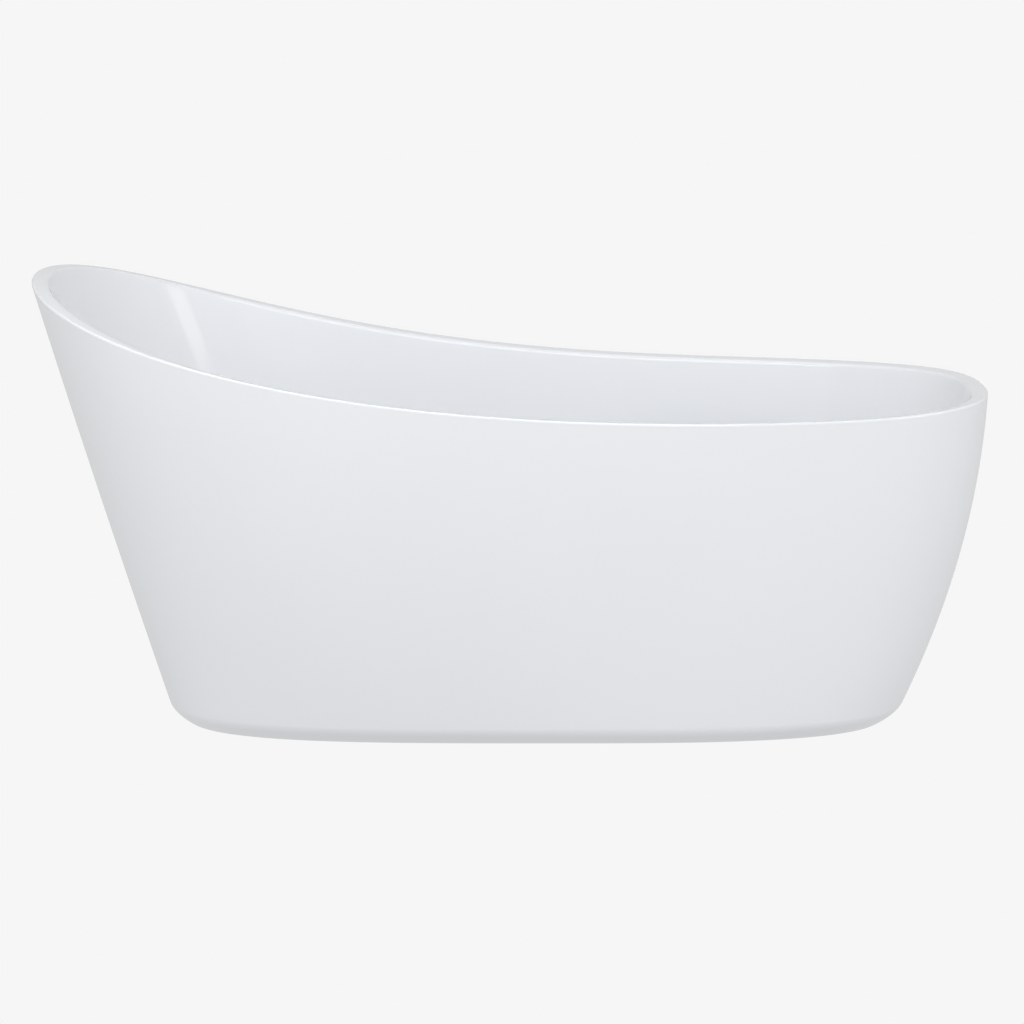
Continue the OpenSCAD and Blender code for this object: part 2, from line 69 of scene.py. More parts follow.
DRAIN_PLACE = 0.430
FLANGE_RADIUS, NECK_RADIUS, HOLE_RADIUS = 0.035, 0.024, 0.026
RING_BORE = 0.0221
SEAL_HEIGHT = 0.0015
FLANGE_TOP = FLOOR_HEIGHT + SEAL_HEIGHT + 0.003
BOARD_BOTTOM = FLOOR_HEIGHT - SHEET - LAMINATE - 0.012
BODY_TOP = FLOOR_HEIGHT - SHEET - LAMINATE - 0.003
OVERFLOW_HEIGHT, OVERFLOW_HOLE, COVER_RADIUS = 0.430, 0.023, 0.034
HOSE_RADIUS, HOSE_BEND, HOSE_LEAN = 0.014, 0.070, math.radians(13)
INLET_HEIGHT, ELBOW_DEPTH, HOSE_STOP = 0.080, 0.026, 0.024
RAIL_BOTTOM = BOARD_BOTTOM - 0.025
STUD_RADIUS, STUD_FOOT, STUD_TOP = 0.006, 0.0051, RAIL_BOTTOM + 0.017
THREAD_PITCH, THREAD_DEPTH = 0.00175, 0.0010
PAD_RADIUS = 0.022
FEET = {
    "head_left": (-0.395, 0.12), "head_right": (-0.395, -0.12),
    "drain_left": (0.465, 0.12), "drain_right": (0.465, -0.12), "centre": (-0.06, 0.0),
}


# ---- Shape of the walls ----

def signed_power(value, power):
    return np.sign(value) * np.abs(value) ** power


def grow(u, bulge):
    """0 to 1 as u goes from 0 to 1, ahead of u by a bulge."""
    return (1 + bulge) * u - bulge * u * u


def oval(a, head, drain, half, centre, power):
    at_head = np.cos(a) < 0
    along, across = (2 / np.where(at_head, *pair) for pair in zip(*power))
    reach = np.where(at_head, centre + head, drain - centre)
    x = centre + reach * signed_power(np.cos(a), along)
    return np.stack([x, half * signed_power(np.sin(a), across)], -1)


def rim_z(x):
    rise = np.clip((LOW_PLACE - x) / (LOW_PLACE + HALF_LENGTH), 0, None)
    lift = np.clip((x - LOW_PLACE) / (HALF_LENGTH - LOW_PLACE), 0, None)
    return (LOW_HEIGHT + (HEAD_HEIGHT - LOW_HEIGHT) * rise ** RISE_POWER
            + (DRAIN_END_HEIGHT - LOW_HEIGHT) * lift * lift)


def raw_rim(a):
    plan = oval(a, HALF_LENGTH, HALF_LENGTH, 1.0, RIM_CENTRE, RIM_POWER)
    plan[..., 1] *= 1 - RIM_TAPER * plan[..., 0] / HALF_LENGTH
    return plan


def fine_angles(count):
    """Angles round a whole turn that crowd where the ovals run fast, at their middle."""
    turn = np.linspace(0, 2 * math.pi, count)
    half_turn = np.arccos(np.clip(np.cos(turn) ** 3, -1, 1))
    return np.where(turn <= math.pi, half_turn, 2 * math.pi - half_turn)


RIM_HALF = HALF_WIDTH / raw_rim(fine_angles(8001))[:, 1].max()


def rim_plan(a):
    return raw_rim(a) * [1, RIM_HALF]


def rim_height(a):
    return rim_z(rim_plan(a)[..., 0])


def base_plan(a):
    return oval(a, BASE_HEAD, BASE_DRAIN, BASE_HALF, BASE_CENTRE, BASE_POWER)


def bow(a, bows):
    """Bulge at an angle, between the value of the end it faces and that of the sides."""
    c = np.cos(a) ** 2
    return c * np.where(np.cos(a) < 0, bows[0], bows[1]) + (1 - c) * bows[2]


def outward(curve, a, *args):
    """Outward direction in plan of a curve of the angle."""
    along = curve(a + TURN_STEP, *args) - curve(a - TURN_STEP, *args)
    normal = np.stack([along[..., 1], -along[..., 0]], -1)
    return normal / np.linalg.norm(normal, axis=-1, keepdims=True)


def foot_share(z):
    """1 at the floor, 0 from the height where the wall no longer turns in."""
    return np.clip(1 - z / FOOT_RISE, 0, None)


def outer_plan(a, z):
    g = grow(z / rim_height(a), bow(a, OUTER_BOW))[..., None]
    tuck = FOOT_TUCK * foot_share(np.broadcast_to(z, a.shape))[..., None] ** 2
    return base_plan(a) + (rim_plan(a) - base_plan(a)) * g - tuck * outward(base_plan, a)


def well_foot(a):
    return oval(a, WELL_HEAD, WELL_DRAIN, WELL_HALF, WELL_CENTRE, WELL_POWER)


def well_rim(a):
    return rim_plan(a) - LIP_WIDTH * outward(rim_plan, a)


def well_top(a):
    return rim_height(a) - LIP_FALL


def well_plan(a, z):
    g = grow((z - FLOOR_HEIGHT) / (well_top(a) - FLOOR_HEIGHT), bow(a, WELL_BOW))[..., None]
    return well_foot(a) + (well_rim(a) - well_foot(a)) * g


def at_height(plan, z):
    return np.concatenate([plan, np.broadcast_to(z, plan.shape[:-1])[..., None]], -1)


def even_angles(count, curve, *args):
    """Angles of points spaced evenly along a curve, so that the ends get as many as the sides."""
    fine = fine_angles(20001)
    points = curve(fine, *args)
    run = np.concatenate([[0], np.cumsum(np.linalg.norm(np.diff(points, axis=0), axis=1))])
    return np.interp(np.arange(count) * run[-1] / count, run, fine)


angles = even_angles(STATIONS, rim_plan)


def wall_point(height, out):
    """Ring of the well's wall at a height, moved out from its inner face."""
    return at_height(well_plan(angles, height) + out * outward(well_plan, angles, height), height)


def fillet_ring(turn, out):
    radius = WELL_FILLET + out
    z = np.full(STATIONS, FLOOR_HEIGHT - out + radius * (1 - math.cos(turn)))
    shift = out - radius * (1 - math.sin(turn))
    return at_height(well_plan(angles, z) + shift * outward(well_plan, angles, z), z)


def floor_rings(foot, shares):
    """Rings between the middle of the floor and the foot of the fillet."""
    middle = np.array([WELL_CENTRE, 0, foot[0, 2]])
    return [middle + (foot - middle) * share for share in shares]


def unit(v):
    return v / np.linalg.norm(v, axis=-1, keepdims=True)


def arc(before, corner, after, radius, steps):
    """Points of the arc that rounds a corner between two others."""
    u, v = unit(before - corner), unit(after - corner)
    between = np.arccos(np.clip((u * v).sum(-1, keepdims=True), -1, 1))
    centre = corner + unit(u + v) * radius / np.sin(between / 2)
    start = unit(corner + u * radius / np.tan(between / 2) - centre)
    stop = unit(corner + v * radius / np.tan(between / 2) - centre)
    sweep = math.pi - between
    return [
        centre + radius * (
            np.sin((1 - k) * sweep) * start + np.sin(k * sweep) * stop) / np.sin(sweep)
        for k in np.linspace(0, 1, steps)
    ]


# ---- Meshes and pieces ----

def ring_mesh(rings, closed):
    """Points and faces of a solid through rings, capped at both ends or closed on itself."""
    count, n = len(rings), len(rings[0])
    index = np.arange(count * n).reshape(count, n)
    rows = index if not closed else np.concatenate([index, index[:1]])
    a, b = rows[:-1], np.roll(rows[:-1], -1, 1)
    c, d = rows[1:], np.roll(rows[1:], -1, 1)
    faces = np.stack([a, b, d, c], -1).reshape(-1, 4).tolist()
    if not closed:
        faces += [index[0].tolist(), index[-1][::-1].tolist()]
    return np.concatenate(rings), faces


def joined(parts):
    points, faces, start = [], [], 0
    for part_points, part_faces in parts:
        points.append(np.asarray(part_points))
        faces += [[i + start for i in face] for face in part_faces]
        start += len(part_points)
    return np.concatenate(points), faces


def smooth(mesh, degrees):
    mesh.shade_smooth()
    mesh.set_sharp_from_angle(angle=math.radians(degrees))


def mesh_object(name, points, faces, place=None):
    mesh = bpy.data.meshes.new(name)
    mesh.from_pydata(np.asarray(points).tolist(), [], faces)
    bm = bmesh.new()
    bm.from_mesh(mesh)
    bmesh.ops.remove_doubles(bm, verts=bm.verts, dist=1e-7)
    if place is not None:
        bm.transform(place)
    bmesh.ops.recalc_face_normals(bm, faces=bm.faces)
    bm.to_mesh(mesh)
    bm.free()
    obj = bpy.data.objects.new(name, mesh)
    bpy.context.collection.objects.link(obj)
    return obj


def cut(obj, cutters):
    """Cuts holes through a mesh and drops the cutters."""
    for cutter in cutters:
        modifier = obj.modifiers.new("cut", "BOOLEAN")
        modifier.object = cutter
        modifier.solver = "EXACT"
    depsgraph = bpy.context.evaluated_depsgraph_get()
    mesh = bpy.data.meshes.new_from_object(obj.evaluated_get(depsgraph))
    obj.modifiers.clear()
    obj.data = mesh
    for cutter in cutters:
        bpy.data.objects.remove(cutter)


def piece(obj, body, slot, stands_for, degrees=35):
    smooth(obj.data, degrees)
    obj.data.materials.clear()
    obj.data.materials.append(LOOKS[slot])
    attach(obj, body)
    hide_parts(*stands_for)
    return obj


def rounded(corners, steps=5):
    """Profile of points (radius, height) through corners (radius, height, rounding)."""
    points = []
    for i, (r, z, rounding) in enumerate(corners):
        corner = np.array([r, z])
        if rounding == 0:
            points.append(corner)
            continue
        before = np.array(corners[i - 1][:2])
        after = np.array(corners[(i + 1) % len(corners)][:2])
        points += arc(before, corner, after, rounding, steps)
    return points


def turned(corners, segments=96, steps=5):
    """Points and faces of a closed profile turned about the Z axis."""
    turn = np.arange(segments) * 2 * math.pi / segments
    rings = [
        np.stack([r * np.cos(turn), r * np.sin(turn), np.full(segments, z)], -1)
        for r, z in rounded(corners, steps)
    ]
    return ring_mesh(rings, True)


def tube(outer, inner, low, high, rounding=0.0004, segments=96):
    return turned([
        (inner, low, rounding), (outer, low, rounding),
        (outer, high, rounding), (inner, high, rounding),
    ], segments)


def block(low, high):
    corners = np.array([[x, y, z] for x in (low[0], high[0]) for y in (low[1], high[1])
                        for z in (low[2], high[2])])
    faces = [[0, 1, 3, 2], [4, 6, 7, 5], [0, 4, 5, 1], [2, 3, 7, 6], [0, 2, 6, 4], [1, 5, 7, 3]]
    return corners, faces


def moved(part, place):
    points, faces = part
    return [list(place @ Vector(p)) for p in points], faces


def cylinder(name, radius, low, high, place):
    profile = [(0, low, 0), (radius, low, 0), (radius, high, 0), (0, high, 0)]
    return mesh_object(name, *turned(profile), place)


# ---- Materials ----

def material(name):
    made = bpy.data.materials.new(name)
    made.use_nodes = True
    made.node_tree.nodes.clear()
    return made, made.node_tree


def add(tree, kind, inputs=None, **settings):
    node = tree.nodes.new(kind)
    for key, value in settings.items():
        setattr(node, key, value)
    for key, value in (inputs or {}).items():
        if isinstance(value, bpy.types.NodeSocket):
            tree.links.new(value, node.inputs[key])
        else:
            node.inputs[key].default_value = value
    return node


def rgba(colour):
    return (*colour, 1.0)


def noise(tree, scale, detail=4.0, stretch=(1, 1, 1), roughness=0.5):
    """Noise in the object's own metres, drawn out along the axes with a small stretch."""
    place = add(tree, "ShaderNodeTexCoord").outputs["Object"]
    mapped = add(tree, "ShaderNodeMapping", {"Vector": place, "Scale": stretch}).outputs[0]
    return add(tree, "ShaderNodeTexNoise", {
        "Vector": mapped, "Scale": scale, "Detail": detail, "Roughness": roughness,
    }).outputs["Fac"]


def spread(tree, value, low, high, start=0.3, stop=0.7):
    return add(tree, "ShaderNodeMapRange", {
        "Value": value, "From Min": start, "From Max": stop, "To Min": low, "To Max": high,
    }).outputs[0]


def blended(tree, factor, first, second):
    mix = add(tree, "ShaderNodeMix", data_type="RGBA")
    tree.links.new(factor, mix.inputs["Factor"])
    for key, value in (("A", first), ("B", second)):
        socket = [s for s in mix.inputs if s.name == key and s.type == "RGBA"][0]
        if isinstance(value, bpy.types.NodeSocket):
            tree.links.new(value, socket)
        else:
            socket.default_value = rgba(value)
    return [s for s in mix.outputs if s.type == "RGBA"][0]


def bumped(tree, height, strength, distance):
    return add(tree, "ShaderNodeBump", {
        "Height": height, "Strength": strength, "Distance": distance,
    }).outputs[0]


def surface(tree, inputs):
    shader = add(tree, "ShaderNodeBsdfPrincipled", inputs)
    add(tree, "ShaderNodeOutputMaterial", {"Surface": shader.outputs[0]})


def acrylic_look():
    made, tree = material("acrylic_white")
    waves = noise(tree, 5.0, 1.0)
    tone = spread(tree, noise(tree, 2.5, 2.0), 0.0, 1.0)
    surface(tree, {
        "Base Color": blended(tree, tone, ACRYLIC_DARK, ACRYLIC_LIGHT),
        "Roughness": spread(tree, noise(tree, 60.0, 3.0), 0.06, 0.11),
        "IOR": 1.49,
        "Normal": bumped(tree, waves, 0.10, 0.002),
    })
    return made


def metal_look(name, dark, light, roughness, scale, bump=0.0, stretch=(1, 1, 1)):
    made, tree = material(name)
    grain = noise(tree, scale, 5.0, stretch)
    inputs = {
        "Base Color": blended(tree, spread(tree, grain, 0.0, 1.0), dark, light),
        "Metallic": 1.0,
        "Roughness": spread(tree, grain, roughness[0], roughness[1]),
    }
    if bump:
        inputs["Normal"] = bumped(tree, noise(tree, scale * 6, 3.0, stretch), bump, 0.0002)
    surface(tree, inputs)
    return made


def galvanised_look():
    """Zinc spangle: flat crystals of slightly different greys and gloss."""
    made, tree = material("galvanised_steel")
    place = add(tree, "ShaderNodeTexCoord").outputs["Object"]
    crystals = add(tree, "ShaderNodeTexVoronoi", {"Vector": place, "Scale": 160.0})
    shade = add(tree, "ShaderNodeSeparateColor", {"Color": crystals.outputs["Color"]}).outputs[0]
    surface(tree, {
        "Base Color": blended(tree, shade, (0.40, 0.42, 0.44), (0.60, 0.62, 0.64)),
        "Metallic": 1.0,
        "Roughness": spread(tree, shade, 0.34, 0.52, 0.0, 1.0),
        "Normal": bumped(tree, noise(tree, 220.0, 4.0), 0.15, 0.0003),
    })
    return made


def laminate_look():
    """Chopped glass strands under resin, brushed on by hand."""
    made, tree = material("laminate")
    strands = noise(tree, 90.0, 5.0, (1.0, 0.12, 0.3))
    crossed = noise(tree, 90.0, 5.0, (0.15, 1.0, 0.4))
    both = add(tree, "ShaderNodeMath", {0: strands, 1: crossed}, operation="MAXIMUM").outputs[0]
    surface(tree, {
        "Base Color": blended(tree, spread(tree, both, 0.0, 1.0, 0.45, 0.75),
                              (0.50, 0.49, 0.38), (0.72, 0.71, 0.60)),
        "Roughness": spread(tree, both, 0.30, 0.60),
        "Normal": bumped(tree, both, 0.6, 0.001),
    })
    return made


def plywood_look():
    """Long grain on the faces and bands of plies on the edge."""
    made, tree = material("plywood")
    grain = noise(tree, 70.0, 8.0, (0.06, 1.0, 1.0), 0.6)
    face = blended(tree, spread(tree, grain, 0.0, 1.0), (0.44, 0.27, 0.13), (0.68, 0.49, 0.29))
    place = add(tree, "ShaderNodeTexCoord").outputs["Object"]
    height = add(tree, "ShaderNodeSeparateXYZ", {"Vector": place}).outputs["Z"]
    plies = add(tree, "ShaderNodeMath", {0: height, 1: 0.003}, operation="PINGPONG").outputs[0]
    edge = blended(tree, spread(tree, plies, 0.0, 1.0, 0.0012, 0.0018),
                   (0.30, 0.17, 0.08), (0.66, 0.48, 0.29))
    normal = add(tree, "ShaderNodeNewGeometry").outputs["Normal"]
    upright = add(tree, "ShaderNodeSeparateXYZ", {"Vector": normal}).outputs["Z"]
    on_face = add(tree, "ShaderNodeMath", {0: upright}, operation="ABSOLUTE").outputs[0]
    surface(tree, {
        "Base Color": blended(tree, spread(tree, on_face, 0.0, 1.0, 0.4, 0.6), edge, face),
        "Roughness": spread(tree, grain, 0.60, 0.78),
        "Normal": bumped(tree, grain, 0.25, 0.0006),
    })
    return made


def soft_look(name, dark, light, roughness, scale=400.0, bump=0.2):
    made, tree = material(name)
    grain = noise(tree, scale, 3.0)
    surface(tree, {
        "Base Color": blended(tree, spread(tree, noise(tree, 25.0, 4.0), 0.0, 1.0), dark, light),
        "Roughness": spread(tree, grain, roughness[0], roughness[1]),
        "Normal": bumped(tree, grain, bump, 0.0002),
    })
    return made


ACRYLIC_DARK, ACRYLIC_LIGHT = (0.700, 0.714, 0.738), (0.712, 0.726, 0.750)
LOOKS = {
    "acrylic_white": acrylic_look(),
    "laminate": laminate_look(),
    "plywood": plywood_look(),
    "galvanised_steel": galvanised_look(),
    "zinc_fasteners": metal_look(
        "zinc_fasteners", (0.50, 0.51, 0.53), (0.66, 0.67, 0.70), (0.24, 0.36), 90.0, 0.1),
    "foot_pads": soft_look(
        "foot_pads", (0.028, 0.028, 0.029), (0.042, 0.042, 0.043), (0.62, 0.78)),
    "chrome": metal_look("chrome", (0.78, 0.79, 0.81), (0.82, 0.83, 0.85), (0.04, 0.08), 30.0),
    "brass_sleeve": metal_look(
        "brass_sleeve", (0.60, 0.42, 0.17), (0.72, 0.53, 0.25), (0.20, 0.32), 60.0, 0.1),
    "black_rubber": soft_look(
        "black_rubber", (0.018, 0.018, 0.018), (0.030, 0.030, 0.030), (0.5, 0.66)),
    "waste_plastic": soft_look(
        "waste_plastic", (0.66, 0.66, 0.64), (0.72, 0.72, 0.70), (0.34, 0.46), 500.0, 0.12),
    "hose_plastic": soft_look(
        "hose_plastic", (0.40, 0.41, 0.42), (0.48, 0.49, 0.50), (0.36, 0.48), 500.0, 0.12),
}

# ---- Holes for the waste and the overflow ----

# Half of the height over which the wall's lean at the overflow is taken
LEAN_STEP = 0.001


def drain_end_wall(z):
    """How far along the well's inner face lies in the middle of the drain end."""
    return well_plan(np.array(0.0), z)[0]


overflow_x = drain_end_wall(OVERFLOW_HEIGHT)
overflow_lean = math.atan(
    (drain_end_wall(OVERFLOW_HEIGHT + LEAN_STEP) - drain_end_wall(OVERFLOW_HEIGHT - LEAN_STEP))
    / (2 * LEAN_STEP))
at_overflow = (Matrix.Translation((overflow_x, 0, OVERFLOW_HEIGHT))
               @ Matrix.Rotation(overflow_lean - math.pi / 2, 4, "Y"))
at_drain = Matrix.Translation((DRAIN_PLACE, 0, 0))


def hole_cutters():
    return [
        cylinder("drain_cutter", HOLE_RADIUS, BOARD_BOTTOM, BOARD_BOTTOM + 0.06, at_drain),
        cylinder("overflow_cutter", OVERFLOW_HOLE, -0.03, 0.015, at_overflow),
    ]


# ---- Shells ----

FLOOR_SHARES = (0.004, 0.15, 0.35, 0.55, 0.75, 0.9)
rim_top = at_height(rim_plan(angles), rim_height(angles))
lip_bottom = rim_height(angles) - LIP_THICKNESS
lip_edge = at_height(outer_plan(angles, lip_bottom), lip_bottom)


def shell_wall(out, top, fillet_steps, wall_steps):
    """Rings of the well's shell from the middle of its floor up to a height."""
    fillet = [fillet_ring(math.pi / 2 * i / fillet_steps, out) for i in range(fillet_steps + 1)]
    foot = FLOOR_HEIGHT + WELL_FILLET
    wall = [wall_point(foot + (top - foot) * i / wall_steps, out)
            for i in range(1, wall_steps + 1)]
    return floor_rings(fillet[0], FLOOR_SHARES) + fillet + wall


def basin():
    inner_edge = wall_point(well_top(angles), 0)
    inner = shell_wall(0, well_top(angles) - WALL_STOP, 16, 40)
    outer = shell_wall(SHEET, lip_bottom, 10, 24)
    rounding = (arc(inner[-1], inner_edge, rim_top, LIP_INNER_RADIUS, 9)
                + arc(inner_edge, rim_top, lip_edge, LIP_OUTER_RADIUS, 8))
    rings = inner + rounding + [lip_edge] + outer[::-1]
    obj = mesh_object("basin_shell", *ring_mesh(rings, False))
    cut(obj, hole_cutters())
    return piece(obj, "tub", "acrylic_white", ["basin"], 40)


def backing():
    top = lip_bottom - LAMINATE_STOP
    inner = shell_wall(SHEET + SEAM, top, 10, 20)
    outer = shell_wall(SHEET + LAMINATE, top, 10, 20)
    obj = mesh_object("basin_laminate", *ring_mesh(inner + outer[::-1], False))
    cut(obj, hole_cutters())
    return piece(obj, "tub", "laminate", ["basin_backing"], 40)


def skirt():
    top = lip_bottom - SEAM

    def skirt_ring(z, inset):
        """Ring at a height, set in from the outer face square to the wall's lean at the foot."""
        z = np.broadcast_to(z, (STATIONS,))
        lean = np.hypot(1, 2 * FOOT_TUCK / FOOT_RISE * foot_share(z))
        inset = (inset * lean)[:, None]
        return at_height(outer_plan(angles, z) - inset * outward(outer_plan, angles, z), z)

    def side(low, foot_rows, wall_rows, inset):
        rows = list(np.linspace(low, FOOT_RISE, foot_rows + 1))
        rows += [FOOT_RISE + (top - FOOT_RISE) * i / wall_rows for i in range(1, wall_rows + 1)]
        return [skirt_ring(z, inset) for z in rows]

    edge = 0.0015
    turns = [math.pi / 2 * i / 5 for i in range(5, 0, -1)]
    rounding = [
        skirt_ring(EDGE_GAP + edge * (1 - math.sin(t)), edge * (1 - math.cos(t))) for t in turns
    ]
    outer = rounding + side(EDGE_GAP + edge, 12, 44, 0)
    inner = side(EDGE_GAP, 8, 20, SKIRT_THICKNESS)
    obj = mesh_object("outer_shell", *ring_mesh(outer[::-1] + inner, True))
    return piece(obj, "tub", "acrylic_white", ["outer_skirt"], 50)


basin()
backing()
skirt()

# ---- Carried-over steel, board and plastic ----

CARRIED = {
    "floor_board": "plywood",
    "frame_rail_left": "galvanised_steel", "frame_rail_right": "galvanised_steel",
    "frame_cross_head": "galvanised_steel", "frame_cross_middle": "galvanised_steel",
    "frame_cross_drain": "galvanised_steel", "skirt_brackets": "galvanised_steel",
    "frame_screws": "zinc_fasteners", "bracket_screws": "zinc_fasteners",
    "weld_nuts": "zinc_fasteners", "foot_lock_nuts": "zinc_fasteners",
    "drain_body": "waste_plastic", "overflow_elbow": "waste_plastic",
    "outlet_nut": "waste_plastic",
}
for name, slot in CARRIED.items():
    node = nodes[name]
    node.data.materials.clear()
    node.data.materials.append(LOOKS[slot])
    bevel = node.modifiers.new("edge", "BEVEL")
    bevel.width = 0.0006
    bevel.segments = 2
    bevel.limit_method = "ANGLE"
    bevel.angle_limit = math.radians(50)
    bevel.use_clamp_overlap = True


# ---- Feet ----

def thread(radius, depth, pitch, low, high, segments=24, per_turn=6):
    """Closed solid with a right-hand thread between two heights."""
    turn = np.arange(segments) * 2 * math.pi / segments
    heights = np.linspace(low, high, int((high - low) / pitch * per_turn) + 1)
    rings = []
    for z in heights:
        phase = (z / pitch - turn / (2 * math.pi)) % 1
        r = radius - depth * np.abs(2 * phase - 1)
        rings.append(np.stack([r * np.cos(turn), r * np.sin(turn), np.full(segments, z)], -1))
    return ring_mesh(rings, False)


def hexagon(across_corners, low, high):
    turn = np.arange(6) * math.pi / 3
    chamfer = 0.0008
    rings = []
    for z, r in ((low, across_corners - chamfer), (low + chamfer, across_corners),
                 (high - chamfer, across_corners), (high, across_corners - chamfer)):
        rings.append(np.stack([r * np.cos(turn), r * np.sin(turn), np.full(6, z)], -1))
    return ring_mesh(rings, False)


def feet():
    socket = STUD_RADIUS + SEAM
    collar_top = 0.0145
    for name, (x, y) in FEET.items():
        place = Matrix.Translation((x, y, 0))
        stud = joined([
            turned([(0, STUD_FOOT, 0), (STUD_RADIUS, STUD_FOOT, 0.0005),
                    (STUD_RADIUS, collar_top, 0.0003), (0, collar_top, 0)], 48),
            thread(STUD_RADIUS, THREAD_DEPTH, THREAD_PITCH, 0.0144, STUD_TOP),
            hexagon(0.010, 0.015, 0.021),
        ])
        piece(mesh_object("threaded_stud_" + name, *stud, place),
              "foot_stud_" + name, "zinc_fasteners", ["stud_" + name], 40)
        pad = turned([
            (0, 0, 0), (PAD_RADIUS, 0, 0.0008), (PAD_RADIUS, 0.004, 0.001),
            (0.020, 0.006, 0.001), (0.013, 0.009, 0.002), (0.012, 0.014, 0.0008),
            (socket, 0.014, 0.0004), (socket, 0.005, 0), (0, 0.005, 0),
        ])
        piece(mesh_object("rubber_pad_" + name, *pad, place),
              "foot_pad_" + name, "foot_pads", ["pad_" + name])


feet()

# ---- Waste ----

CARTRIDGE_BOTTOM = FLOOR_HEIGHT - 0.026
CAP_BASE = FLANGE_TOP + 0.0004
STEM_BOTTOM = CARTRIDGE_BOTTOM + 0.002
BODY_BOTTOM = 0.052


def waste():
    foot = BODY_TOP - 0.030
    hub = CARTRIDGE_BOTTOM + 0.004
    flange = [turned([
        (NECK_RADIUS, FLOOR_HEIGHT + SEAL_HEIGHT, 0.0004),
        (FLANGE_RADIUS, FLOOR_HEIGHT + SEAL_HEIGHT, 0.0005),
        (FLANGE_RADIUS - 0.0015, FLANGE_TOP, 0.0014), (0.027, FLANGE_TOP, 0.0015),
        (0.021, FLOOR_HEIGHT, 0.002), (0.021, foot, 0.0005), (NECK_RADIUS, foot, 0.0005),
    ], 128), tube(0.0095, 0.00705, hub, hub + 0.008)]
    for quarter in range(4):
        spoke = block((0.0085, -0.0015, hub + 0.0005), (0.022, 0.0015, hub + 0.0075))
        flange.append(moved(spoke, Matrix.Rotation(quarter * math.pi / 2, 4, "Z")))
    piece(mesh_object("waste_flange", *joined(flange), at_drain), "tub", "chrome",
          ["drain_flange"])
    seal_bore = NECK_RADIUS + 0.0003
    seal = tube(FLANGE_RADIUS - 0.002, seal_bore, FLOOR_HEIGHT, FLOOR_HEIGHT + SEAL_HEIGHT)
    piece(mesh_object("waste_seal", *seal, at_drain), "tub", "black_rubber", ["drain_seal"])
    gasket = tube(0.037, seal_bore, BODY_TOP, BODY_TOP + 0.003, 0.0008)
    piece(mesh_object("waste_gasket", *gasket, at_drain), "tub", "black_rubber",
          ["drain_gasket"])
    sleeve = tube(0.007, 0.00405, CARTRIDGE_BOTTOM, CARTRIDGE_BOTTOM + 0.020)
    piece(mesh_object("guide_sleeve", *sleeve, at_drain), "tub", "brass_sleeve",
          ["drain_cartridge"])
    dome_radius, dome_rise, dome_foot = 0.031, 0.0034, CAP_BASE + 0.0028
    dome = [(dome_radius * k, dome_foot + dome_rise * (1 - k * k), 0)
            for k in np.linspace(0.96, 0, 16)]
    cap = turned([
        (0, STEM_BOTTOM, 0), (0.004, STEM_BOTTOM, 0.0008), (0.004, CAP_BASE - 0.004, 0.0008),
        (0.019, CAP_BASE - 0.004, 0.0005), (0.019, CAP_BASE, 0.0004),
        (dome_radius, CAP_BASE, 0.0004), (0.032, CAP_BASE + 0.0012, 0.0006),
        (dome_radius, CAP_BASE + 0.0026, 0.0006),
    ] + dome, 128)
    piece(mesh_object("domed_stopper", *cap, at_drain), "stopper", "chrome", ["drain_stopper"])
    ring = tube(0.024, 0.019, CAP_BASE - 0.0024, CAP_BASE - 0.0006, 0.0006)
    piece(mesh_object("stopper_lip_seal", *ring, at_drain), "stopper", "black_rubber",
          ["stopper_seal"])
    nut_bottom, bead = BODY_BOTTOM - 0.008, 0.003
    bore, outside, bead_radius = 0.018, 0.020, 0.0215
    outlet_foot, outlet_top = 0.014, BODY_BOTTOM + 0.010
    outlet = turned([
        (bore, outlet_foot, 0.0004), (outside, outlet_foot, 0.0008),
        (outside, nut_bottom - bead, 0.0005), (bead_radius, nut_bottom - bead, 0.0004),
        (bead_radius, nut_bottom, 0.0004), (outside, nut_bottom, 0.0004),
        (outside, outlet_top, 0.0004), (bore, outlet_top, 0.0004),
    ])
    piece(mesh_object("waste_outlet_tube", *outlet, at_drain), "tub", "waste_plastic",
          ["outlet_tube"])


waste()


# ---- Overflow ----

def overflow():
    cover_inside = COVER_RADIUS - 0.002
    cover = mesh_object("overflow_cap", *turned([
        (0.0032, 0.012, 0.0004), (COVER_RADIUS - 0.003, 0.011, 0.003),
        (COVER_RADIUS, 0.008, 0.002), (COVER_RADIUS, 0.001, 0.0005),
        (cover_inside, 0.001, 0.0005), (cover_inside, 0.0075, 0.0008),
        (0.031, 0.0086, 0.0004), (0.024, 0.0092, 0), (0.0032, 0.0096, 0.0004),
    ], 128), at_overflow)
    opening = block((-COVER_RADIUS - 0.001, -0.012, -0.001), (-0.021, 0.012, 0.006))
    cut(cover, [mesh_object("slot_cutter", *opening, at_overflow)])
    piece(cover, "tub", "chrome", ["overflow_cover"])
    screw = turned([
        (0, -0.006, 0), (0.003, -0.006, 0.0004), (0.003, 0.012, 0.0003), (0.0055, 0.012, 0.0003),
        (0.0055, 0.014, 0.0010), (0, 0.014, 0),
    ], 64)
    piece(mesh_object("overflow_cap_screw", *screw, at_overflow), "tub", "zinc_fasteners",
          ["overflow_screw"])
    ring = tube(0.029, RING_BORE, 0.0004, 0.0044, 0.0008)
    piece(mesh_object("overflow_clamp_ring", *ring, at_overflow), "tub", "waste_plastic",
          ["overflow_ring"])
    behind = -SHEET - LAMINATE - 0.0034
    gasket = tube(0.031, RING_BORE, behind, behind + 0.003, 0.0008)
    piece(mesh_object("overflow_seal", *gasket, at_overflow), "tub", "black_rubber",
          ["overflow_gasket"])


overflow()


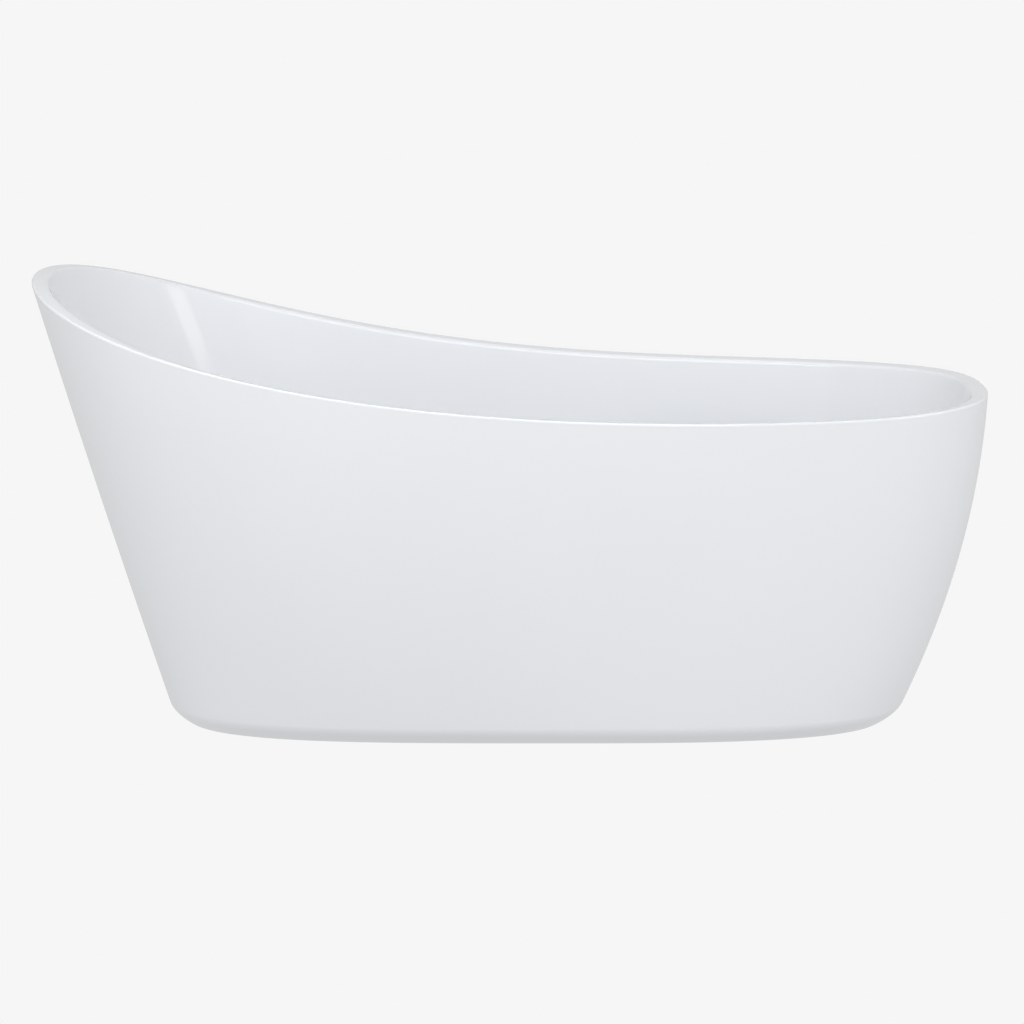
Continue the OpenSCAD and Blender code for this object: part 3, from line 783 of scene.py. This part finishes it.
def hose():
    """Corrugated hose from the waste up to the overflow, and its two clamp bands."""
    elbow_x = overflow_x + ELBOW_DEPTH * math.cos(overflow_lean)
    elbow_z = OVERFLOW_HEIGHT - ELBOW_DEPTH * math.sin(overflow_lean)
    start = DRAIN_PLACE + 0.032
    bend_end_z = INLET_HEIGHT + HOSE_BEND * (1 - math.sin(HOSE_LEAN))
    bend_x = (elbow_x - (elbow_z - bend_end_z) * math.tan(HOSE_LEAN)
              - HOSE_BEND * math.cos(HOSE_LEAN))
    rise = (elbow_z - bend_end_z) / math.cos(HOSE_LEAN) - HOSE_STOP
    level, bend = bend_x - start, HOSE_BEND * (math.pi / 2 - HOSE_LEAN)
    total = level + bend + rise
    cuff, pitch, depth, wall, segments = 0.024, 0.0042, 0.0014, 0.0023, 40
    turn = np.arange(segments) * 2 * math.pi / segments
    outer, inner = [], []
    for s in np.linspace(0, total, int(total / pitch * 8)):
        if s < level:
            x, z, lean = start + s, INLET_HEIGHT, 0.0
        elif s < level + bend:
            lean = (s - level) / HOSE_BEND
            x = bend_x + HOSE_BEND * math.sin(lean)
            z = INLET_HEIGHT + HOSE_BEND * (1 - math.cos(lean))
        else:
            lean = math.pi / 2 - HOSE_LEAN
            run = s - level - bend
            x = bend_x + HOSE_BEND * math.sin(lean) + run * math.cos(lean)
            z = INLET_HEIGHT + HOSE_BEND * (1 - math.cos(lean)) + run * math.sin(lean)
        plain = min(s, total - s) < cuff
        wave = 0.0 if plain else 0.5 - 0.5 * math.cos(2 * math.pi * (s - cuff) / pitch)
        for rings, r in ((outer, HOSE_RADIUS - depth * wave),
                         (inner, HOSE_RADIUS - wall - 0.4 * depth * wave)):
            up = r * np.sin(turn)
            rings.append(np.stack(
                [x - up * math.sin(lean), r * np.cos(turn), z + up * math.cos(lean)], -1))
    obj = mesh_object("corrugated_hose", *ring_mesh(outer[::-1] + inner, True))
    piece(obj, "tub", "hose_plastic", ["overflow_hose"], 50)
    band = HOSE_RADIUS + 0.0001
    along = (Matrix.Translation((start + 0.005, 0, INLET_HEIGHT))
             @ Matrix.Rotation(math.pi / 2, 4, "Y"))
    upper = (Matrix.Translation((elbow_x, 0, elbow_z)) @ Matrix.Rotation(HOSE_LEAN, 4, "Y")
             @ Matrix.Translation((0, 0, -HOSE_STOP - 0.019)))
    clip = tube(band + 0.002, band, 0, 0.010, 0.0005)
    piece(mesh_object("clamp_bands", *joined([moved(clip, along), moved(clip, upper)])),
          "tub", "zinc_fasteners", ["hose_nuts"])


hose()

# ---- Floor, light and camera ----

FLOOR_TONE, FLOOR_VARIATION = 0.921, 0.001
FLOOR_LEVEL, FLOOR_HALF = -0.0005, 1000.0
# The world's strength at the horizon, and how much it changes up to the zenith
WORLD_TONE, WORLD_RISE = 0.69, -0.14
CAMERA_PLACE, CAMERA_DIP = (0.0, -4.2, 1.2835), 0.2231
FOCAL_LENGTH, SENSOR_WIDTH, VIEW_REACH = 94.18, 36.0, 3000.0
# Name, place, point aimed at, size and power of each light
LIGHTS = [
    ("front_high", (0, -2.8, 3.0), (0, 0, 0.3), (3.0, 1.0), 70.0),
    ("front_wide", (0, -4.5, 1.6), (0, 0, 0.3), (5.0, 2.0), 12.0),
    ("right_side", (3.2, -1.2, 1.0), (0.4, 0, 0.35), (1.5, 1.5), 15.0),
    ("right_card", (3.5, -1.6, 2.6), (-0.4, 0, 0.5), (1.1, 0.9), 6.5),
    ("over_card", (0, 0.2, 2.8), (0, 0.2, 0), (2.4, 1.6), 5.0),
    ("left_front", (-2.6, -2.6, 1.6), (0, 0, 0.3), (1.2, 1.6), 24.0),
]
# Lights that brighten the bathtub but leave no reflection on it
UNREFLECTED = {"left_front"}


def floor_plane():
    made, tree = material("studio_floor")
    grain = noise(tree, 3.0, 2.0)
    surface(tree, {
        "Base Color": rgba((0.0, 0.0, 0.0)),
        "Roughness": 1.0,
        "Specular IOR Level": 0.0,
        "Emission Color": rgba((1.0, 1.0, 1.0)),
        "Emission Strength": spread(
            tree, grain, FLOOR_TONE - FLOOR_VARIATION, FLOOR_TONE + FLOOR_VARIATION),
    })
    signs = ((-1, -1), (1, -1), (1, 1), (-1, 1))
    corners = [(x * FLOOR_HALF, y * FLOOR_HALF, FLOOR_LEVEL) for x, y in signs]
    floor = mesh_object("studio_floor", corners, [[0, 1, 2, 3]])
    floor.data.materials.append(made)
    floor.visible_glossy = False
    floor.visible_diffuse = False


def studio_world():
    """White world that is a little brighter below than above."""
    world = bpy.data.worlds.new("studio")
    world.use_nodes = True
    tree = world.node_tree
    background = tree.nodes["Background"]
    background.inputs["Color"].default_value = rgba((1.0, 1.0, 1.0))
    direction = add(tree, "ShaderNodeTexCoord").outputs["Generated"]
    upward = add(tree, "ShaderNodeSeparateXYZ", {"Vector": direction}).outputs["Z"]
    level = add(tree, "ShaderNodeMath", {0: upward, 1: WORLD_RISE, 2: WORLD_TONE},
                operation="MULTIPLY_ADD").outputs[0]
    tree.links.new(level, background.inputs["Strength"])
    bpy.context.scene.world = world


def area_light(name, place, aim, size, power):
    lamp = bpy.data.lights.new(name, "AREA")
    lamp.shape = "RECTANGLE"
    lamp.size, lamp.size_y = size
    lamp.energy = power
    obj = bpy.data.objects.new(name, lamp)
    bpy.context.collection.objects.link(obj)
    away = np.array(place, float) - np.array(aim, float)
    tilt = math.atan2(math.hypot(away[0], away[1]), away[2])
    obj.location = place
    obj.rotation_euler = (tilt, 0, math.atan2(away[1], away[0]) + math.pi / 2)
    obj.visible_glossy = name not in UNREFLECTED


def camera():
    lens = bpy.data.cameras.new("camera")
    lens.sensor_width = SENSOR_WIDTH
    lens.lens = FOCAL_LENGTH
    lens.clip_end = VIEW_REACH
    obj = bpy.data.objects.new("camera", lens)
    bpy.context.collection.objects.link(obj)
    obj.location = CAMERA_PLACE
    obj.rotation_euler = (math.pi / 2 - CAMERA_DIP, 0, 0)
    bpy.context.scene.camera = obj


floor_plane()
studio_world()
for light in LIGHTS:
    area_light(*light)
camera()
bpy.context.scene.view_settings.view_transform = "Standard"
